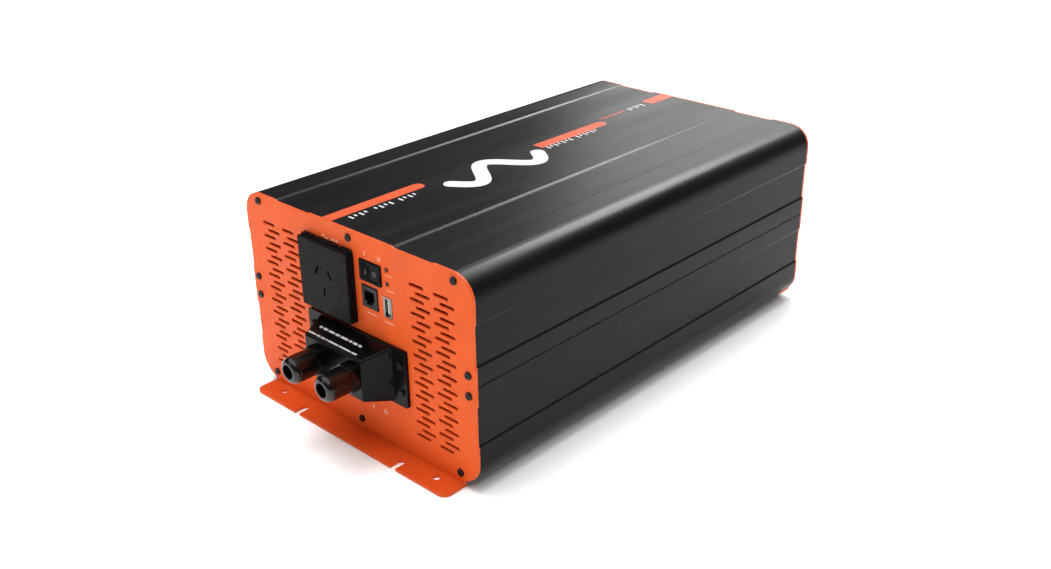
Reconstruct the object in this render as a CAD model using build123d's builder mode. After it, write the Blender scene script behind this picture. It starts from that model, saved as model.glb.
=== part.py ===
from build123d import *

import os
from math import cos, radians, sin

# Power inverter: two housing extrusions between sheet-metal end panels, with its fittings and its inside.
# Frame: +X to the right seen from the front, +Y to the rear, +Z up. The origin is on the mounting surface,
# at the centre of the four mounting holes. Millimetres.

os.makedirs("parts", exist_ok=True)

# ---------------------------------------------------------------- driving dimensions
# Housing
body_length = 386.0          # over the outer faces of the two end panels
body_width = 230.0
body_height = 149.4
floor_gap = 4.3              # underside of the housing above the mounting surface
corner_radius = 17.0
wall = 3.0
step_depth = 0.9             # depth of the recessed bands
step_run = 1.6               # width of the slope down into a band
top_band_inner = 42.2        # recessed bands on top and bottom, from the centre
top_band_outer = 80.0
side_band_inner = 13.5       # recessed bands on the sides, from the seam
side_band_outer = 44.2
seam_groove = 0.7
boss_radius = 4.0
screw_hole_radius = 1.7
# End panels and their feet
sheet = 2.0
foot_length = 18.7
foot_width = 204.0
foot_corner_radius = 6.0
bend_radius = 1.5            # inside radius
foot_hole_radius = 2.6
foot_hole_out = 7.0          # hole centre from the panel's outer face
foot_hole_spacing = 165.0
foot_slot_width = 5.4
foot_slot_inner_end = 8.6
foot_slot_spacing = 104.0
# Panel screws
screw_inset_x = 16.1         # corner screws, from the side
screw_inset_z = 5.7          # corner and centre screws, from the top or bottom
side_screw_inset = 6.1       # screws beside the seam, from the side
side_screw_rise = 7.3        # and from the seam
panel_screw_clearance = 0.4
screw_head_radius = 2.7
screw_head_height = 1.4
screw_length = 12.0
drive_recess = 0.9
# Vents
vent_length = 13.4
vent_width = 2.3
vent_row_pitch = 10.1
vent_row_shift = 5.25        # sideways shift of every other row
vent_column_pitch = 22.0
vent_edge_margin = 16.7
vent_left_shift = 2.3        # the left group sits this much nearer the middle
vent_inner_limit = 52.5      # keeps the vents clear of the fittings
vent_top_margin = 20.6
vent_bottom_margin = 17.0
# Front fittings: x from the centre, drop from the top edge of the panel
outlet_x = -22.0
outlet_top_gap = 15.0        # above the outlet's face
outlet_size = 51.6
outlet_out = 6.6
outlet_box = 43.0            # side of the part behind the panel
outlet_depth = 24.0
switch_x, switch_drop = 20.8, 24.5
switch_width, switch_height = 21.0, 15.0
jack_x, jack_drop = 18.6, 43.2
jack_width, jack_height = 15.6, 16.0
jack_out = 1.0
usb_x, usb_drop = 36.0, 45.0
led_x = 36.7
led_drops = (17.8, 27.8)
led_radius = 1.5
fitting_clearance = 0.15
# Terminal cover
cover_x = 2.0
cover_gap = 5.2              # below the outlet
cover_width, cover_height = 101.0, 42.0
cover_mouth_width = 76.0
cover_face_width, cover_face_height = 59.0, 30.8
cover_out = 22.5
cover_wall = 2.0
cover_flange = 2.5
cover_screw_inset = 5.0
cover_screw_spacing = 20.7
# Cable glands
gland_spacing = 35.5
gland_hex = 19.5             # across flats
gland_hex_thickness = 5.0
gland_thread_radius = 7.4
locknut_flats = 18.0
gland_nut_radius = 9.6
gland_nut_flats = 18.6
gland_length = 24.5          # outside the cover
gland_mouth_radius = 5.2
gland_turn_gap = 0.3
cable_radius = 4.0
locknut_thickness = 3.5
# Fans
fan_size = 80.0
fan_depth = 25.0
fan_rim = 2.0                # frame outside the bore where it is thinnest
fan_hole_inset = 4.25        # hole centres from the frame's sides
fan_edge_margin = 12.0
fan_top_margin = 11.0
fan_hub_radius = 18.0
fan_blades = 7
fan_shaft_radius = 1.5
fan_shaft_clearance = 0.05
fan_tip_gap = 1.0
guard_wire = 0.9
# DC terminals
dc_x = 40.0
dc_rise = 21.0               # above the bottom edge of the panel
stud_radius = 4.0
stud_out = 27.0
stud_in = 17.0
dc_base_size = 24.0
dc_base_out = 6.0
dc_nut_flats = 13.0
dc_nut_thickness = 6.5
washer_thickness = 1.6
relief_width = 1.0           # groove that ends the nut's thread on a stud
relief_depth = 0.4
earth_x = 0.0
earth_radius = 2.5
# Boards
board_end_gap = 28.0         # from the outer face of the rear panel, and the same at the front
board_side_gap = 12.0        # from the housing's inner wall
board_thickness = 2.0
standoff_height = 8.5
standoff_radius = 3.5
board_screw_radius = 1.5
sheet_thickness = 0.5        # insulation sheet
sheet_drop = 1.2             # its underside below the board's

# ---------------------------------------------------------------- places worked out from them
half_width = body_width / 2
half_height = body_height / 2
seam_z = floor_gap + half_height
top_z = floor_gap + body_height
front_y = -body_length / 2
rear_y = body_length / 2
inner_floor = floor_gap + wall
board_z = inner_floor + standoff_height
board_top = board_z + board_thickness


STANDING = (Align.CENTER, Align.CENTER, Align.MIN)
HANGING = (Align.CENTER, Align.CENTER, Align.MAX)


def front_plane(x, z, out=0.0):
    """Plane on the front panel's outer face: local x is +X, local y is +Z, outward is -Y."""
    return Plane(origin=(x, front_y - out, z), x_dir=(1, 0, 0), z_dir=(0, -1, 0))


def rear_plane(x, z, out=0.0):
    """Plane on the rear panel's outer face: local x is -X, local y is +Z, outward is +Y."""
    return Plane(origin=(x, rear_y + out, z), x_dir=(-1, 0, 0), z_dir=(0, 1, 0))


def save(builder, name):
    """Label a finished piece and write it."""
    builder.part.label = name
    export_step(builder.part, f"parts/{name}.step")


def housing_outline():
    """Stepped outline of the housing, drawn about the seam's centre in the open sketch."""
    RectangleRounded(body_width, body_height, corner_radius)
    for across in (-1, 1):
        for along in (-1, 1):
            surface, floor = across * half_height, across * (half_height - step_depth)
            Polygon(
                (along * top_band_inner, surface),
                (along * (top_band_inner + step_run), floor),
                (along * (top_band_outer - step_run), floor),
                (along * top_band_outer, surface),
                align=None,
                mode=Mode.SUBTRACT,
            )
            surface, floor = across * half_width, across * (half_width - step_depth)
            Polygon(
                (surface, along * side_band_inner),
                (floor, along * (side_band_inner + step_run)),
                (floor, along * (side_band_outer - step_run)),
                (surface, along * side_band_outer),
                align=None,
                mode=Mode.SUBTRACT,
            )


def half_screw_places(side):
    """The five screw places of the upper (side 1) or lower (side -1) half, from the seam's centre."""
    corner_x = half_width - screw_inset_x
    edge_z = side * (half_height - screw_inset_z)
    side_x = half_width - side_screw_inset
    side_z = side * side_screw_rise
    return [(-corner_x, edge_z), (0.0, edge_z), (corner_x, edge_z), (-side_x, side_z), (side_x, side_z)]


screw_places = half_screw_places(1) + half_screw_places(-1)


def housing_half(side):
    """One U-shaped extrusion with its screw bosses: side 1 is the upper half, -1 the lower."""
    with BuildPart() as half:
        with BuildSketch(front_plane(0, seam_z, -sheet)):
            housing_outline()
            with Locations((-half_width, 0), (half_width, 0)):
                Rectangle(seam_groove, seam_groove, rotation=45, mode=Mode.SUBTRACT)
            RectangleRounded(body_width - 2 * wall, body_height - 2 * wall, corner_radius - wall,
                             mode=Mode.SUBTRACT)
            with Locations(*half_screw_places(side)):
                Circle(boss_radius)
            with Locations((0, -side * half_height)):
                Rectangle(2 * body_width, body_height, mode=Mode.SUBTRACT)
            with Locations(*half_screw_places(side)):
                Circle(screw_hole_radius, mode=Mode.SUBTRACT)
        extrude(amount=-(body_length - 2 * sheet))
    return half


def vent_places():
    """Centres of the vent slots, from the seam's centre, on both sides of the panel."""
    group_width = vent_length + vent_row_shift
    room = half_width - vent_edge_margin - vent_inner_limit
    columns = 1 + max(0, int((room - group_width) // vent_column_pitch))
    rows = 1 + int(2 * (body_height - vent_top_margin - vent_bottom_margin) // vent_row_pitch)
    outermost = half_width - vent_edge_margin - vent_length / 2
    places = []
    for column in range(columns):
        x = outermost - column * vent_column_pitch
        for row in range(rows):
            shift = vent_row_shift * (row % 2)
            z = half_height - vent_top_margin - row * vent_row_pitch / 2
            places.append((x - vent_row_shift + shift, z))
            places.append((vent_left_shift - x + shift, z))
    return places


def end_panel(plane_at, draw_openings):
    """Panel with its foot, screw holes and openings: plane_at gives planes on its outer face."""
    outward = plane_at(0, 0).z_dir.Y
    face_y = plane_at(0, 0).origin.Y
    with BuildPart() as panel:
        with BuildSketch(plane_at(0, seam_z)):
            housing_outline()
        extrude(amount=-sheet)
        with BuildSketch(Plane.YZ.offset(-foot_width / 2)):
            with BuildLine():
                Polyline(
                    (face_y + outward * foot_length, 0),
                    (face_y - outward * sheet, 0),
                    (face_y - outward * sheet, floor_gap + corner_radius),
                    (face_y, floor_gap + corner_radius),
                    (face_y, sheet),
                    (face_y + outward * foot_length, sheet),
                    close=True,
                )
            section = make_face()
            inside_corner = section.vertices().sort_by_distance((-foot_width / 2, face_y, sheet))[0]
            outside_corner = section.vertices().sort_by_distance(
                (-foot_width / 2, face_y - outward * sheet, 0))[0]
            fillet(inside_corner, bend_radius)
            fillet(outside_corner, bend_radius + sheet)
        extrude(amount=foot_width)
        tip = panel.edges().filter_by(Axis.Z).filter_by(
            lambda e: abs(e.center().Y - face_y - outward * foot_length) < 0.01)
        fillet(tip, foot_corner_radius)
        with BuildSketch(Plane.XY):
            with Locations(
                (-foot_hole_spacing / 2, face_y + outward * foot_hole_out),
                (foot_hole_spacing / 2, face_y + outward * foot_hole_out),
            ):
                Circle(foot_hole_radius)
            slot_centre = foot_slot_inner_end + foot_slot_width / 2
            for x in (-foot_slot_spacing / 2, foot_slot_spacing / 2):
                with Locations((x, face_y + outward * slot_centre)):
                    Circle(foot_slot_width / 2)
                with Locations((x, face_y + outward * (slot_centre + foot_length / 2))):
                    Rectangle(foot_slot_width, foot_length)
        extrude(amount=sheet, mode=Mode.SUBTRACT)
        with BuildSketch(plane_at(0, seam_z)):
            with Locations(*screw_places):
                Circle(screw_hole_radius + panel_screw_clearance)
        extrude(amount=-sheet, mode=Mode.SUBTRACT)
        with BuildSketch(plane_at(0, 0)):
            draw_openings()
        extrude(amount=-sheet, mode=Mode.SUBTRACT)
    return panel


def pan_screws(seats, head_radius, head_height, shank_radius, length):
    """Pan-head screws with cross recesses: each seat is the plane under one head, facing outward."""
    with BuildPart() as screws:
        with Locations(*seats):
            Cylinder(head_radius, head_height, align=STANDING)
            Cylinder(shank_radius, length, align=HANGING)
        outward = Axis((0, 0, 0), tuple(seats[0].z_dir))
        fillet(screws.edges().group_by(outward)[-1], head_height * 0.45)
        with Locations(*[seat.offset(head_height) for seat in seats]):
            Box(head_radius * 1.1, head_radius * 0.28, 2 * drive_recess, mode=Mode.SUBTRACT)
            Box(head_radius * 0.28, head_radius * 1.1, 2 * drive_recess, mode=Mode.SUBTRACT)
    return screws


# ---------------------------------------------------------------- housing and end panels
upper_housing = housing_half(1)
lower_housing = housing_half(-1)

outlet_z = top_z - outlet_top_gap - outlet_size / 2
switch_z = top_z - switch_drop
jack_z = top_z - jack_drop
usb_z = top_z - usb_drop
cover_z = outlet_z - outlet_size / 2 - cover_gap - cover_height / 2
switch_body_width = switch_width - 2.0
switch_body_height = switch_height - 2.0
usb_flange_width, usb_flange_height = 8.2, 14.7
usb_shell_width, usb_shell_height = 5.7, 13.1
wire_window_width, wire_window_height = 50.0, 20.0
cover_screw_x = cover_width / 2 - cover_screw_inset
cover_screw_places = [
    (cover_x + x, cover_z + z)
    for x in (-cover_screw_x, cover_screw_x)
    for z in (-cover_screw_spacing / 2, cover_screw_spacing / 2)
]


def front_openings():
    """Vents, fitting cut-outs and cover screw holes, in the open sketch on the front panel."""
    around = 2 * fitting_clearance
    cutouts = [
        (outlet_x, outlet_z, outlet_box + around, outlet_box + around),
        (switch_x, switch_z, switch_body_width + around, switch_body_height + around),
        (jack_x, jack_z, jack_width + around, jack_height + around),
        (usb_x, usb_z, usb_shell_width + around, usb_shell_height + around),
        (cover_x, cover_z, wire_window_width, wire_window_height),
    ]
    with Locations(*[(x, seam_z + z) for x, z in vent_places()]):
        SlotOverall(vent_length, vent_width)
    for x, z, width, height in cutouts:
        with Locations((x, z)):
            Rectangle(width, height)
    with Locations(*[(led_x, top_z - drop) for drop in led_drops]):
        Circle(led_radius + fitting_clearance)
    with Locations(*cover_screw_places):
        Circle(screw_hole_radius + panel_screw_clearance)


front_panel = end_panel(front_plane, front_openings)

fan_bore_radius = fan_size / 2 - fan_rim
fan_hole_offset = fan_size / 2 - fan_hole_inset
fan_x = half_width - fan_edge_margin - fan_size / 2
fan_z = top_z - fan_top_margin - fan_size / 2
dc_z = floor_gap + dc_rise
fan_places = {"left_fan": -fan_x, "right_fan": fan_x}
fan_screw_places = [
    (x + dx, fan_z + dz)
    for x in fan_places.values()
    for dx in (-fan_hole_offset, fan_hole_offset)
    for dz in (-fan_hole_offset, fan_hole_offset)
]
stud_bush_radius = stud_radius + 2.5


def rear_openings():
    """Fan openings and holes for the fan screws and studs, in the open sketch on the rear panel."""
    with Locations(*[(x, fan_z) for x in fan_places.values()]):
        Circle(fan_bore_radius)
    with Locations(*fan_screw_places):
        Circle(screw_hole_radius + panel_screw_clearance)
    with Locations((-dc_x, dc_z), (dc_x, dc_z)):
        Circle(stud_bush_radius + fitting_clearance)
    with Locations((earth_x, dc_z)):
        Circle(earth_radius + fitting_clearance)


rear_panel = end_panel(rear_plane, rear_openings)

front_panel_screws = pan_screws([front_plane(x, seam_z + z) for x, z in screw_places], screw_head_radius,
                                screw_head_height, screw_hole_radius - 0.1, screw_length)
rear_panel_screws = pan_screws([rear_plane(x, seam_z + z) for x, z in screw_places], screw_head_radius,
                               screw_head_height, screw_hole_radius - 0.1, screw_length)

# ---------------------------------------------------------------- outlet
# Three flat slots: active and neutral lean together over the upright earth slot.
slot_length, slot_width = 7.4, 2.0
live_offset_x, live_offset_z = 6.86, 5.0
earth_offset_z = -9.3
live_lean = 30.0
contact_thickness = 0.6
rim_height = 1.2             # of the ledge along the top
rim_notch_width, rim_notch_x = 2.6, 12.5
outlet_slots = [
    (-live_offset_x, live_offset_z, 90 - live_lean),
    (live_offset_x, live_offset_z, 90 + live_lean),
    (0.0, earth_offset_z, 90.0),
]

with BuildPart() as outlet_body:
    with BuildSketch(front_plane(outlet_x, outlet_z)):
        RectangleRounded(outlet_size, outlet_size, 1.2)
    extrude(amount=outlet_out)
    face_rim = outlet_body.faces().sort_by(Axis.Y)[0].edges()
    chamfer(face_rim, 0.6)
    with BuildSketch(front_plane(outlet_x, outlet_z + outlet_size / 2)):
        Rectangle(outlet_size - 2 * rim_height, 2 * rim_height)
        with Locations((-rim_notch_x, rim_height), (rim_notch_x, rim_height)):
            Rectangle(rim_notch_width, 2 * rim_height, mode=Mode.SUBTRACT)
    extrude(amount=outlet_out / 2)
    with BuildSketch(front_plane(outlet_x, outlet_z)):
        Rectangle(outlet_box, outlet_box)
    extrude(amount=-outlet_depth)
    for x, z, lean in outlet_slots:
        with BuildSketch(front_plane(outlet_x + x, outlet_z + z, outlet_out)):
            Rectangle(slot_length, slot_width, rotation=lean)
        extrude(amount=-outlet_out, mode=Mode.SUBTRACT)
        with BuildSketch(front_plane(outlet_x + x, outlet_z + z)):
            Rectangle(slot_length + 1.6, slot_width + 2.6, rotation=lean)
        extrude(amount=-outlet_depth + 2.0, mode=Mode.SUBTRACT)

with BuildPart() as outlet_contacts:
    for x, z, lean in outlet_slots:
        with BuildSketch(front_plane(outlet_x + x, outlet_z + z, -1.0)):
            Rectangle(slot_length, slot_width + 2 * contact_thickness, rotation=lean)
            Rectangle(slot_length, slot_width, rotation=lean, mode=Mode.SUBTRACT)
        extrude(amount=-outlet_depth + 5.0)
        with BuildSketch(front_plane(outlet_x + x, outlet_z + z, 4.0 - outlet_depth)):
            Rectangle(slot_length, slot_width + 2 * contact_thickness, rotation=lean)
        extrude(amount=-contact_thickness)

# ---------------------------------------------------------------- rocker switch
switch_bezel = 1.6
switch_depth = 17.0
rocker_length = 15.6
rocker_end_rise = 3.6        # front of the rocker's ends, ahead of the pivot
rocker_middle_rise = 2.5
rocker_tail = 4.6
rocker_height = 10.4
rocker_gap = 0.35
rocker_pivot_depth = 3.2     # behind the bezel's front
rocker_tilt = 8.0
rocker_pin_radius = 1.2
rocker_pin_gap = 0.05
rocker_pin_length = 1.0
rocker_end = rocker_length / 2
rocker_reach = rocker_end * cos(radians(rocker_tilt)) + rocker_end_rise * sin(radians(rocker_tilt))
pivot_y = front_y - switch_bezel + rocker_pivot_depth
pivot_plane = Plane(origin=(switch_x, pivot_y, switch_z), x_dir=(1, 0, 0), z_dir=(0, 0, 1))

with BuildPart() as switch_frame:
    with BuildSketch(front_plane(switch_x, switch_z)):
        RectangleRounded(switch_width, switch_height, 0.8)
    extrude(amount=switch_bezel)
    chamfer(switch_frame.faces().sort_by(Axis.Y)[0].edges(), 0.5)
    with BuildSketch(front_plane(switch_x, switch_z)):
        Rectangle(switch_body_width, switch_body_height)
    extrude(amount=-switch_depth)
    with BuildSketch(front_plane(switch_x, switch_z, switch_bezel)):
        Rectangle(2 * (rocker_reach + rocker_gap), rocker_height + 2 * rocker_gap)
    extrude(amount=-(switch_bezel + switch_depth - 2.0), mode=Mode.SUBTRACT)
    with Locations(pivot_plane):
        Cylinder(rocker_pin_radius + rocker_pin_gap, rocker_height + 2 * (rocker_gap + rocker_pin_length),
                 mode=Mode.SUBTRACT)

tilted_pivot = pivot_plane.rotated((0, 0, rocker_tilt))
with BuildPart() as switch_rocker:
    with BuildSketch(tilted_pivot.offset(-rocker_height / 2)):
        with BuildLine():
            Polyline(
                (-rocker_end, 0),
                (-rocker_end, -rocker_end_rise),
                (0, -rocker_middle_rise),
                (rocker_end, -rocker_end_rise),
                (rocker_end, 0),
                (0, rocker_tail),
                close=True,
            )
        make_face()
    extrude(amount=rocker_height)
    front_edges = switch_rocker.edges().filter_by(Axis.Z).group_by(Axis.Y)[0]
    fillet(front_edges, 0.5)
    with Locations(pivot_plane):
        Cylinder(rocker_pin_radius, rocker_height + 2 * (rocker_gap + rocker_pin_length) - 0.2)

with BuildPart() as switch_terminals:
    with Locations(*[front_plane(switch_x + x, switch_z, -switch_depth) for x in (-5.0, 0.0, 5.0)]):
        Box(0.8, 4.8, 8.0, align=HANGING)

# ---------------------------------------------------------------- remote jack, USB port, lamps
jack_depth = 17.0
jack_mouth_width, jack_mouth_height = 9.8, 7.4
jack_mouth_depth = 12.5
jack_latch_width, jack_latch_height = 5.6, 2.6
jack_mouth_rise = 0.9

with BuildPart() as remote_jack:
    with BuildSketch(front_plane(jack_x, jack_z, jack_out)):
        Rectangle(jack_width, jack_height)
    extrude(amount=-jack_depth)
    chamfer(remote_jack.faces().sort_by(Axis.Y)[0].edges(), 0.4)
    with BuildSketch(front_plane(jack_x, jack_z + jack_mouth_rise, jack_out)):
        Rectangle(jack_mouth_width, jack_mouth_height)
        with Locations((0, -(jack_mouth_height + jack_latch_height) / 2)):
            Rectangle(jack_latch_width, jack_latch_height)
    extrude(amount=-jack_mouth_depth, mode=Mode.SUBTRACT)

contact_pitch = 1.2
with BuildPart() as jack_contacts:
    mouth_top = jack_z + jack_mouth_rise + jack_mouth_height / 2
    for i in range(6):
        x = jack_x + (i - 2.5) * contact_pitch
        with Locations(front_plane(x, mouth_top - 0.55, jack_out - 3.0)):
            Box(0.45, 0.45, jack_mouth_depth - 4.0, align=HANGING)

usb_shell_wall = 0.4
usb_depth = 14.0
usb_lip = 0.5
usb_tongue_width = 1.8
usb_tongue_offset = 0.9

with BuildPart() as usb_shell:
    with BuildSketch(front_plane(usb_x, usb_z)):
        RectangleRounded(usb_flange_width, usb_flange_height, 0.8)
    extrude(amount=usb_lip)
    with BuildSketch(front_plane(usb_x, usb_z)):
        Rectangle(usb_shell_width, usb_shell_height)
    extrude(amount=-usb_depth)
    with BuildSketch(front_plane(usb_x, usb_z, usb_lip)):
        Rectangle(usb_shell_width - 2 * usb_shell_wall, usb_shell_height - 2 * usb_shell_wall)
    extrude(amount=-(usb_lip + usb_depth - usb_shell_wall), mode=Mode.SUBTRACT)

with BuildPart() as usb_tongue:
    tongue_depth = usb_depth - usb_shell_wall - 1.0
    with Locations(front_plane(usb_x - usb_tongue_offset, usb_z, -1.0)):
        Box(usb_tongue_width, usb_shell_height - 2 * usb_shell_wall - 1.2, tongue_depth, align=HANGING)
    chamfer(usb_tongue.faces().sort_by(Axis.Y)[0].edges(), 0.3)

with BuildPart() as indicator_lamps:
    with Locations(*[front_plane(led_x, top_z - drop) for drop in led_drops]):
        Cylinder(led_radius, 8.0, align=HANGING)
        Sphere(led_radius)
    with Locations(*[front_plane(led_x, top_z - drop, -sheet) for drop in led_drops]):
        Cylinder(led_radius + 0.5, 1.0, align=HANGING)

with BuildPart() as interface_board:
    board_left = switch_x - switch_width / 2
    board_right = usb_x + usb_flange_width
    board_low = jack_z - jack_height
    with BuildSketch(front_plane((board_left + board_right) / 2, (board_low + switch_z - 12) / 2,
                                 jack_out - jack_depth)):
        Rectangle(board_right - board_left, switch_z - 12 - board_low)
    extrude(amount=-board_thickness)

# ---------------------------------------------------------------- terminal cover and glands
gland_z = cover_z
cover_face_y = front_y - cover_out
gland_places = {"left_gland": cover_x - gland_spacing / 2, "right_gland": cover_x + gland_spacing / 2}

with BuildPart() as terminal_cover:
    with BuildSketch(front_plane(cover_x, cover_z)):
        Rectangle(cover_mouth_width, cover_height)
    with BuildSketch(front_plane(cover_x, cover_z, cover_out)):
        Rectangle(cover_face_width, cover_face_height)
    loft()
    outer_edges = terminal_cover.edges().group_by(Axis.Y)[0] + terminal_cover.edges().group_by(Axis.Y)[1]
    fillet(outer_edges, 1.6)
    with BuildSketch(front_plane(cover_x, cover_z)):
        RectangleRounded(cover_width, cover_height, 1.5)
    extrude(amount=cover_flange)
    with BuildSketch(front_plane(cover_x, cover_z)):
        Rectangle(cover_mouth_width - 2 * cover_wall, cover_height - 2 * cover_wall)
    with BuildSketch(front_plane(cover_x, cover_z, cover_out - cover_wall)):
        Rectangle(cover_face_width - 2 * cover_wall, cover_face_height - 2 * cover_wall)
    loft(mode=Mode.SUBTRACT)
    with BuildSketch(front_plane(0, gland_z, cover_out)):
        with Locations(*[(x, 0) for x in gland_places.values()]):
            Circle(gland_thread_radius + fitting_clearance)
    extrude(amount=-2 * cover_wall, mode=Mode.SUBTRACT)
    with BuildSketch(front_plane(0, 0, cover_flange)):
        with Locations(*cover_screw_places):
            Circle(screw_hole_radius + panel_screw_clearance)
    extrude(amount=-cover_flange, mode=Mode.SUBTRACT)

terminal_cover_screws = pan_screws([front_plane(x, z, cover_flange) for x, z in cover_screw_places],
                                   2.6, 1.8, 1.5, 9.0)

gland_collet_radius = gland_thread_radius - 0.4
gland_collet_length = 14.0
gland_bore_radius = cable_radius + 2.2
seal_radius = gland_bore_radius - 0.05
gland_shank = cover_wall + locknut_thickness + 1.5
nut_length = gland_length - gland_hex_thickness - gland_turn_gap
nut_dome = 4.4
nut_groove = 0.5


def gland_body(x):
    """Body of a cable gland: hex flange outside the cover, thread inside it, collet under the nut."""
    with BuildPart() as body:
        with BuildSketch(front_plane(x, gland_z, cover_out)):
            RegularPolygon(gland_hex / 2, 6, major_radius=False)
            Circle(gland_hex / 2 * 1.09, mode=Mode.INTERSECT)
        extrude(amount=gland_hex_thickness)
        with BuildSketch(front_plane(x, gland_z, cover_out)):
            Circle(gland_thread_radius)
        extrude(amount=-gland_shank)
        with BuildSketch(front_plane(x, gland_z, cover_out + gland_hex_thickness)):
            Circle(gland_collet_radius)
        extrude(amount=gland_collet_length)
        with BuildSketch(front_plane(x, gland_z, cover_out - gland_shank)):
            Circle(gland_bore_radius)
        extrude(amount=gland_shank + gland_hex_thickness + gland_collet_length, mode=Mode.SUBTRACT)
    return body


def gland_nut(x):
    """Dome nut of a cable gland: rounded hexagon behind a domed nose."""
    start = cover_out + gland_hex_thickness + gland_turn_gap
    nose = Plane(origin=(x, front_y - start, gland_z), x_dir=(1, 0, 0), z_dir=(0, 0, 1))
    grip = nut_length - nut_dome
    with BuildPart() as nut:
        with BuildSketch(nose):
            with BuildLine():
                base = Line((0, 0), (gland_nut_radius, 0))
                side = Line(base @ 1, (gland_nut_radius, -grip))
                step_in = Line(side @ 1, (gland_nut_radius - nut_groove, -grip))
                dome = ThreePointArc(
                    step_in @ 1,
                    (gland_nut_radius - nut_groove - 0.7, -grip - nut_dome * 0.68),
                    (gland_mouth_radius + 0.9, -nut_length),
                )
                front = Line(dome @ 1, (0, -nut_length))
                Line(front @ 1, (0, 0))
            make_face()
        revolve(axis=Axis((x, front_y, gland_z), (0, 1, 0)))
        with BuildSketch(front_plane(x, gland_z, start)):
            Circle(gland_nut_radius + 1)
            RegularPolygon(gland_nut_flats / 2, 6, major_radius=False, mode=Mode.SUBTRACT)
        extrude(amount=grip, mode=Mode.SUBTRACT)
        with BuildSketch(front_plane(x, gland_z, start)):
            Circle(gland_collet_radius + gland_turn_gap)
        extrude(amount=nut_length - 2.2, mode=Mode.SUBTRACT)
        with BuildSketch(front_plane(x, gland_z, start)):
            Circle(gland_mouth_radius)
        extrude(amount=nut_length, mode=Mode.SUBTRACT)
    return nut


left_gland_body = gland_body(gland_places["left_gland"])
right_gland_body = gland_body(gland_places["right_gland"])
left_gland_nut = gland_nut(gland_places["left_gland"])
right_gland_nut = gland_nut(gland_places["right_gland"])

seal_length = 12.0
with BuildPart() as gland_seals:
    for x in gland_places.values():
        with BuildSketch(front_plane(x, gland_z, cover_out + gland_hex_thickness + 1.5)):
            Circle(seal_radius)
            Circle(cable_radius, mode=Mode.SUBTRACT)
        extrude(amount=seal_length)

with BuildPart() as gland_locknuts:
    for x in gland_places.values():
        with BuildSketch(front_plane(x, gland_z, cover_out - cover_wall)):
            RegularPolygon(locknut_flats / 2, 6, major_radius=False, rotation=30)
            Circle(gland_thread_radius, mode=Mode.SUBTRACT)
        extrude(amount=-locknut_thickness)

block_width, block_height, block_depth = 54.0, 24.0, 10.0
block_screw_radius = 2.6
with BuildPart() as ac_terminal_block:
    with BuildSketch(front_plane(cover_x, cover_z)):
        RectangleRounded(block_width, block_height, 1.0)
    extrude(amount=block_depth)
    with BuildSketch(front_plane(cover_x, cover_z, block_depth)):
        with GridLocations(block_width / 3, block_height / 2, 3, 2):
            Rectangle(block_width / 3 - 3.0, block_height / 2 - 3.0)
    extrude(amount=-block_depth + 2.0, mode=Mode.SUBTRACT)

with BuildPart() as ac_terminal_screws:
    with BuildSketch(front_plane(cover_x, cover_z, 2.0)):
        with GridLocations(block_width / 3, block_height / 2, 3, 2):
            Circle(block_screw_radius)
    extrude(amount=4.0)
    with BuildSketch(front_plane(cover_x, cover_z, 6.0)):
        with GridLocations(block_width / 3, block_height / 2, 3, 2):
            Rectangle(2 * block_screw_radius, 0.8)
    extrude(amount=-1.2, mode=Mode.SUBTRACT)

# ---------------------------------------------------------------- fans and guards
fan_inner_y = rear_y - sheet
fan_wall = 1.5
fan_hub_gap = 0.5
motor_radius = fan_hub_radius - 3.0
blade_root = 0.8             # how far a blade root reaches into the hub
blade_pitch = 38.0
blade_thickness = 1.6
rotor_length = fan_depth - 6.0
spider_thickness = 3.0


def fan_plane(x, depth=0.0):
    """Plane square to a fan's axis, depth in front of the rear panel's inner face, facing the rear."""
    return Plane(origin=(x, fan_inner_y - depth, fan_z), x_dir=(-1, 0, 0), z_dir=(0, 1, 0))


def fan_frame(x):
    """Square fan frame with its spider, motor base and bearing tube on the inner side."""
    with BuildPart() as frame:
        with BuildSketch(fan_plane(x)):
            RectangleRounded(fan_size, fan_size, 5.0)
            Circle(fan_bore_radius, mode=Mode.SUBTRACT)
        extrude(amount=-fan_depth)
        with BuildSketch(fan_plane(x, 4.0)):
            Rectangle(2 * fan_size, 2 * fan_size)
            Circle(fan_bore_radius + fan_wall, mode=Mode.SUBTRACT)
            with GridLocations(fan_size, fan_size, 2, 2):
                RectangleRounded(fan_size / 2.6, fan_size / 2.6, 4.0, mode=Mode.SUBTRACT)
        extrude(amount=-(fan_depth - 8.0), mode=Mode.SUBTRACT)
        with BuildSketch(fan_plane(x, fan_depth)):
            Circle(motor_radius)
            with PolarLocations(0, 4, start_angle=20):
                with Locations((fan_bore_radius / 2, 0)):
                    Rectangle(fan_bore_radius + fan_wall, 4.0)
        extrude(amount=spider_thickness)
        with BuildSketch(fan_plane(x, fan_depth)):
            Circle(fan_shaft_radius + 2.5)
        extrude(amount=rotor_length - 2.0)
        with BuildSketch(fan_plane(x, fan_depth - 1.0)):
            Circle(fan_shaft_radius + fan_shaft_clearance)
        extrude(amount=rotor_length, mode=Mode.SUBTRACT)
        with BuildSketch(fan_plane(x)):
            with GridLocations(2 * fan_hole_offset, 2 * fan_hole_offset, 2, 2):
                Circle(screw_hole_radius)
        extrude(amount=-fan_depth, mode=Mode.SUBTRACT)
    return frame


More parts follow.
